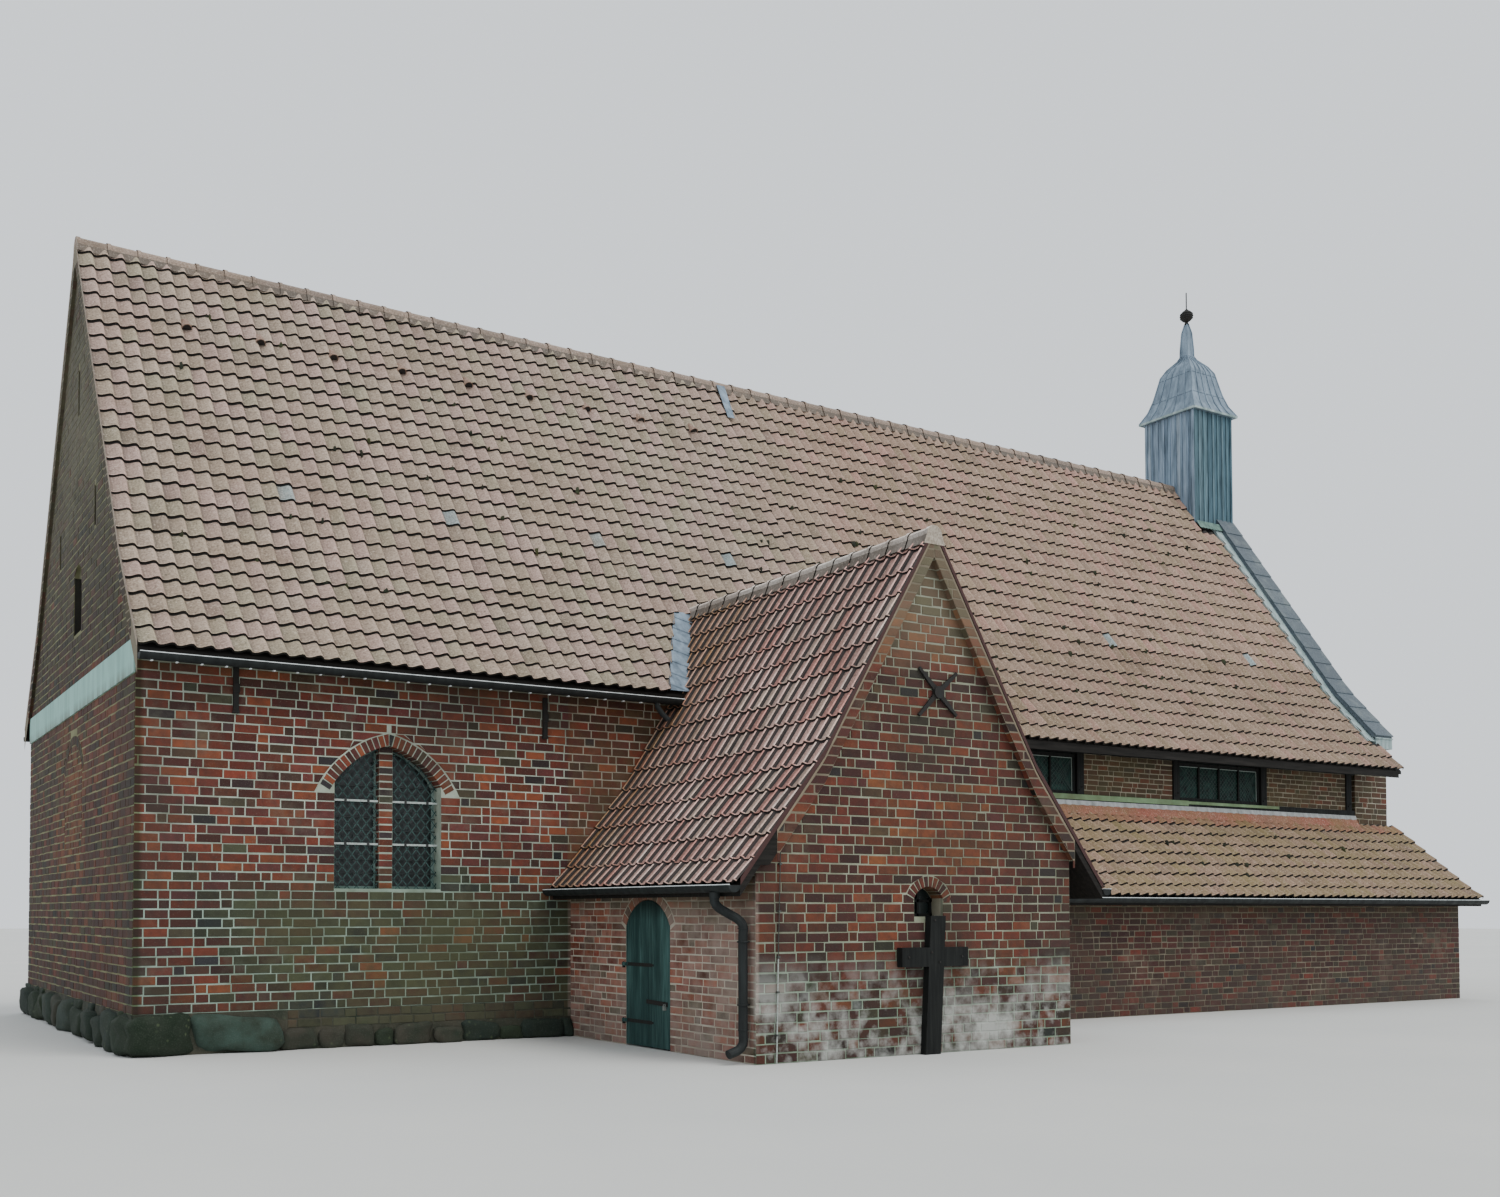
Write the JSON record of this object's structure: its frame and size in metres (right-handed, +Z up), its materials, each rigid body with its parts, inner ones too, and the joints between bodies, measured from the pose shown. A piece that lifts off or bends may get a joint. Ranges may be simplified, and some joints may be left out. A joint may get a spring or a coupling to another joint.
{
  "type": "brick village church",
  "caption": "Brick village church: steep tiled nave, lean-to aisle with a timber clerestory, gabled porch with a hinged plank door, square ridge turret with a bell-shaped cap.",
  "frame": {"origin": "on the ground under the middle of the nave, on the floor slab's underside", "axes": "+X east along the nave, +Y north away from the porch, +Z up"},
  "size_m": [23.76, 12.3403, 15.033],
  "materials": {
    "brick": "weathered red brick with pale mortar",
    "fieldstone": "rough fieldstone",
    "floor_brick": "worn brick paving",
    "plaster": "lime plaster",
    "roof_tile": "weathered clay pantiles",
    "porch_tile": "weathered red clay pantiles",
    "timber": "dark tarred timber",
    "turret_boards": "weathered grey-green boards",
    "door_paint": "worn dark green paint on planks",
    "zinc": "weathered sheet zinc",
    "slate": "grey slate",
    "dark_metal": "dark painted sheet metal",
    "window_glass": "old dark leaded glass"
  },
  "bodies": {
    "building": {"nave_front_wall": "brick", "nave_wall_beside_arch": "brick", "inner_arch_head": "brick", "north_wall": "brick", "west_gable": "brick", "east_gable": "brick", "clerestory_panel_1": "brick", "clerestory_panel_2": "brick", "clerestory_panel_3": "brick", "aisle_front_wall": "brick", "aisle_east_wall": "brick", "porch_west_wall_north": "brick", "porch_west_wall_south": "brick", "porch_door_head": "brick", "porch_east_wall": "brick", "porch_gable": "brick", "footing_front": "fieldstone", "footing_west": "fieldstone", "footing_north": "fieldstone", "floor": "floor_brick", "plaster_band": "plaster", "main_roof_front": "roof_tile", "main_roof_back": "roof_tile", "main_ridge_tiles": "roof_tile", "aisle_roof": "roof_tile", "porch_roof_east": "porch_tile", "porch_roof_west": "porch_tile", "porch_ridge_tiles": "porch_tile", "clerestory_frame": "timber", "wooden_cross": "timber", "turret_body": "turret_boards", "turret_cap": "zinc", "coping_north": "slate", "coping_south": "slate", "nave_gutter": "dark_metal", "north_gutter": "dark_metal", "aisle_gutter": "dark_metal", "porch_gutter_west": "dark_metal", "porch_gutter_east": "dark_metal", "porch_downpipe": "dark_metal", "door_hook_lower": "dark_metal", "door_hook_upper": "dark_metal", "turret_finial": "dark_metal", "front_window": "window_glass", "north_window_1": "window_glass", "north_window_2": "window_glass", "north_window_3": "window_glass", "east_window": "window_glass", "clerestory_window_1": "window_glass", "clerestory_window_2": "window_glass", "porch_window": "window_glass"},
    "door": {"door_leaf": "door_paint"}
  },
  "joints": [
    {"name": "door_hinge", "type": "hinge", "parent": "building", "child": "door", "pos_m": [-6.272, -5.241, 0.28], "axis": [0, 0, -1], "range_deg": [0, 110]}
  ]
}
